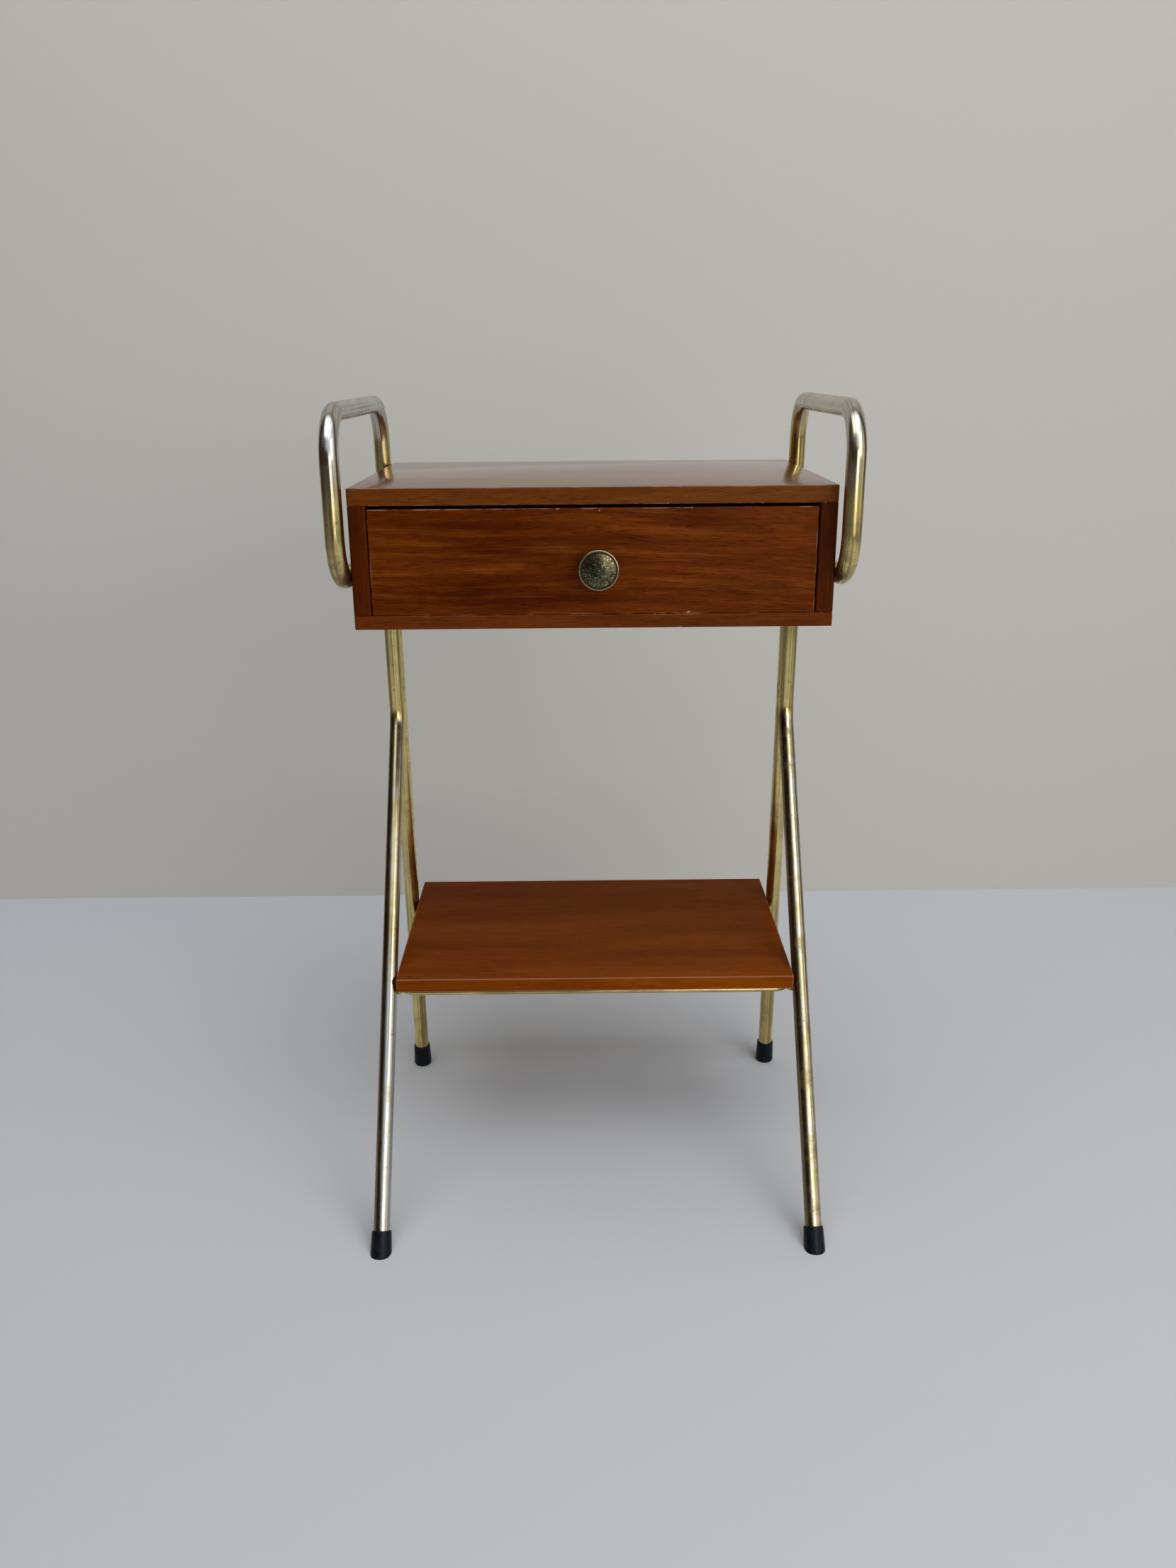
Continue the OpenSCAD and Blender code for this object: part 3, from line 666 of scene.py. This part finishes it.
def brass_material(name, stain, rub=None, stain_more=None, brown=None):
    """Bare old brass with this share of stain.

    rub and stain_more are functions of the tree and its coordinates, and the
    last one, a painted dark reflection, also of the tube's skin. They make the
    shares that differ from place to place.
    """
    material, tree, shader = new_material(name, Metallic=1.0)
    coordinates = place_on(tree)
    skin = add_node(tree, "ShaderNodeAttribute", {"attribute_name": "skin"}).outputs["Vector"]
    patina = add_node(tree, "ShaderNodeGroup", {"node_tree": brass_patina},
                      Vector=coordinates, Skin=skin, Stain=stain, Rub=0.0, Brown=0.0)
    if rub:
        tree.links.new(rub(tree, coordinates), patina.inputs["Rub"])
    if stain_more:
        worst = ramp(tree, stain_more(tree, coordinates), 0.0, 1.0, stain, 1.0)
        tree.links.new(worst, patina.inputs["Stain"])
    if brown:
        tree.links.new(brown(tree, coordinates, skin), patina.inputs["Brown"])
    tree.links.new(patina.outputs["Roughness"], shader.inputs["Roughness"])
    dress(tree, shader, patina.outputs["Color"], patina.outputs["Height"], 0.06, 0.0002)
    return material


def front_legs(tree, place):
    """1 on the front legs under the waist."""
    from_parting = calculate(tree, "MULTIPLY_ADD", place["Z"], -PARTING_SLOPE, place["Y"])
    return multiply(tree, ramp(tree, from_parting, *IN_FRONT_OF_PARTING),
                    ramp(tree, place["Z"], *UNDER_WAIST))


def rubbed_by_hands_and_feet(tree, coordinates):
    """Front legs under the waist, and handles over the table top."""
    place = axes(tree, coordinates)
    on_left = ramp(tree, place["X"], *LEFT)
    trodden = multiply(tree, ramp(tree, place["Z"], *MOST_TRODDEN), on_left)
    least = ramp(tree, on_left, 0.0, 1.0, 0.52, 0.46)
    leg = multiply(tree, front_legs(tree, place), ramp(tree, trodden, 0.0, 1.0, least, 0.90))
    handle = multiply(tree, ramp(tree, place["Z"], *OVER_TOP), ramp(tree, on_left, 0.0, 1.0, 0.64, 0.88))
    held = multiply(tree, handle, ramp(tree, place["Y"], *AWAY_FROM_BACK))
    return calculate(tree, "MAXIMUM", leg, held)


def more_stain_on_loops_and_right_leg(tree, coordinates):
    """More tarnish on the lower half of each loop, where sweat and polish gather, and on the right front
    leg, which is made darker.
    """
    place = axes(tree, coordinates)
    loop = multiply(tree, ramp(tree, place["Z"], *LOOP_BELOW), ramp(tree, place["Z"], *LOOP_ABOVE))
    right_leg = multiply(tree, front_legs(tree, place), ramp(tree, place["X"], *RIGHT))
    return calculate(tree, "MAXIMUM", loop, multiply(tree, right_leg, 0.6))


def dark_reflection_down_front_legs(tree, coordinates, skin):
    """A dark reflection painted in a strip down the left of each front leg."""
    uneven = noise(tree, coordinates, 22.0, 4.0, 0.6)
    edge = calculate(tree, "MULTIPLY_ADD", uneven, 0.55, axes(tree, skin)["X"])
    strip = multiply(tree, ramp(tree, edge, *DARK_REFLECTION_EDGE), 0.85)
    return multiply(tree, front_legs(tree, axes(tree, coordinates)), strip)


# The front legs get a painted dark reflection down their left side.
tube_brass = brass_material("tube_brass", 0.4, rubbed_by_hands_and_feet, more_stain_on_loops_and_right_leg,
                            dark_reflection_down_front_legs)
for name, side in (("left_side_frame", -1), ("right_side_frame", 1)):
    x = side * FRAME_X
    route = [
        Vector((x, FRONT_FOOT_Y + TUBE_END * math.sin(FRONT_LEAN), TUBE_END * math.cos(FRONT_LEAN))),
        Vector((x, rear_y(WAIST_Z) - RUNS_APART, WAIST_Z)),
        Vector((x, rear_y(LOOP_Z) - RUNS_APART, LOOP_Z)),
        Vector((x, UPRIGHT_Y, LOOP_Z)),
        Vector((x, UPRIGHT_Y, HANDLE_Z)),
        Vector((x, rear_y(HANDLE_Z), HANDLE_Z)),
        Vector((x, REAR_FOOT_Y - TUBE_END * math.sin(REAR_LEAN), TUBE_END * math.cos(REAR_LEAN)))]
    tube = bent_tube(name + "_tube", route, BEND_R, TUBE_R, Vector((1, 0, 0)), TUBE_SIDES, tube_brass)
    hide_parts(name)


# ---- Shelf rod, brazes and screws -------------------------------------------
# A bent brass rod under the shelf, brazed to the legs. Blobs of braze join the
# tubes at the waist, and round-head screws hold the case to the loops.
ROD_R = 0.00275
ROD_BEND = 0.015
ROD_SIDES = 32
ROD_GAP = 0.0001
rod_low, rod_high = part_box("shelf_rod")
ROD_Z = (rod_low.z + rod_high.z) / 2
ROD_X = FRAME_X - TUBE_R - ROD_GAP - ROD_R
ROD_FRONT = rod_low.y + ROD_R
BRAZE_DARK = (0.16, 0.13, 0.05, 1)
BRAZE_LIGHT = (0.62, 0.52, 0.24, 1)

rod_brass = brass_material("rod_brass", 0.1)
rod_route = [Vector((-ROD_X, rod_high.y, ROD_Z)), Vector((-ROD_X, ROD_FRONT, ROD_Z)),
             Vector((ROD_X, ROD_FRONT, ROD_Z)), Vector((ROD_X, rod_high.y, ROD_Z))]
rod = bent_tube("shelf_rod_bar", rod_route, ROD_BEND, ROD_R, Vector((0, 0, 1)), ROD_SIDES, rod_brass)
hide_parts("shelf_rod")

braze, tree, shader = new_material("dull_braze", Roughness=0.38, Metallic=1.0)
braze_stain = noise(tree, place_on(tree), 260.0, 4.0, 0.6)
braze_colour = blend(tree, ramp(tree, braze_stain, 0.38, 0.62), BRAZE_DARK, BRAZE_LIGHT)
dress(tree, shader, braze_colour, braze_stain, 0.5, 0.0008)
paint(braze, "waist_brazes", "rod_brazes", "case_screws")


# ---- Feet -------------------------------------------------------------------
# Black rubber ferrules pushed on the tube ends, a little scuffed and dusty.
RUBBER_BLACK = (0.0025, 0.0042, 0.0075, 1)
RUBBER_SCUFFED = (0.008, 0.012, 0.020, 1)

rubber, tree, shader = new_material("black_rubber", Roughness=0.36, Specular_IOR_Level=0.13)
scuffs = noise(tree, place_on(tree), 320.0, 4.0, 0.6)
rubber_colour = blend(tree, ramp(tree, scuffs, 0.45, 0.75), RUBBER_BLACK, RUBBER_SCUFFED)
dress(tree, shader, rubber_colour, scuffs, 0.12, 0.0005)
paint(rubber, "front_left_foot", "front_right_foot", "rear_left_foot", "rear_right_foot")


# ---- Knob -------------------------------------------------------------------
# Turned brass with a bright rim, a groove and a domed face, screwed on from
# inside the drawer. Its face has gone dark and mottled, and its rim is rubbed.
knob_low, knob_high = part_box("drawer_knob")
KNOB_X = (knob_low.x + knob_high.x) / 2
KNOB_Z = (knob_low.z + knob_high.z) / 2
FACE_R = (knob_high.x - knob_low.x) / 2 - 0.0024
GROOVE = (FACE_R - 0.0006, FACE_R)
RIM = (FACE_R + 0.0013, FACE_R + 0.0016)
PATCH_MIDDLE = (-0.0025, 0, 0.0005)
PATCH = (0.0130, 0.0070)
FACE_DARK = (0.036, 0.033, 0.016, 1)
FACE_LIGHT = (0.150, 0.136, 0.064, 1)
FACE_PATCH = (0.022, 0.027, 0.017, 1)
FACE_FLECK = (0.62, 0.58, 0.44, 1)
KNOB_RIM = (0.32, 0.30, 0.235, 1)

knob_brass, tree, shader = new_material("knob_brass", Roughness=0.26, Metallic=1.0)
coordinates = place_on(tree)
centred = add_node(tree, "ShaderNodeMapping", Vector=coordinates, Location=(-KNOB_X, 0, -KNOB_Z),
                   Scale=(1, 0, 1)).outputs["Vector"]
from_axis = add_node(tree, "ShaderNodeVectorMath", {"operation": "LENGTH"}, _0=centred).outputs["Value"]
from_patch = add_node(tree, "ShaderNodeVectorMath", {"operation": "DISTANCE"}, _0=centred,
                      _1=PATCH_MIDDLE).outputs["Value"]
mottle = noise(tree, coordinates, 330.0, 5.0, 0.65)
flecks = noise(tree, coordinates, 900.0, 2.0)
wavy = calculate(tree, "MULTIPLY_ADD", mottle, 0.006, from_patch)
face = blend(tree, ramp(tree, mottle, 0.36, 0.66), FACE_DARK, FACE_LIGHT)
face = blend(tree, multiply(tree, ramp(tree, wavy, *PATCH), 0.75), face, FACE_PATCH)
face = blend(tree, multiply(tree, ramp(tree, flecks, 0.62, 0.67), 0.8), face, FACE_FLECK)
# The groove round the face is painted dark all round: painted shade under the rim.
painted_groove_shade = blend(tree, ramp(tree, from_axis, *GROOVE), face, BRASS_DARK)
knob_colour = blend(tree, ramp(tree, from_axis, *RIM), painted_groove_shade, KNOB_RIM)
dress(tree, shader, knob_colour, mottle, 0.10, 0.0003)
paint(knob_brass, "drawer_knob")
paint(plain_steel, "knob_screw", "knob_washer")
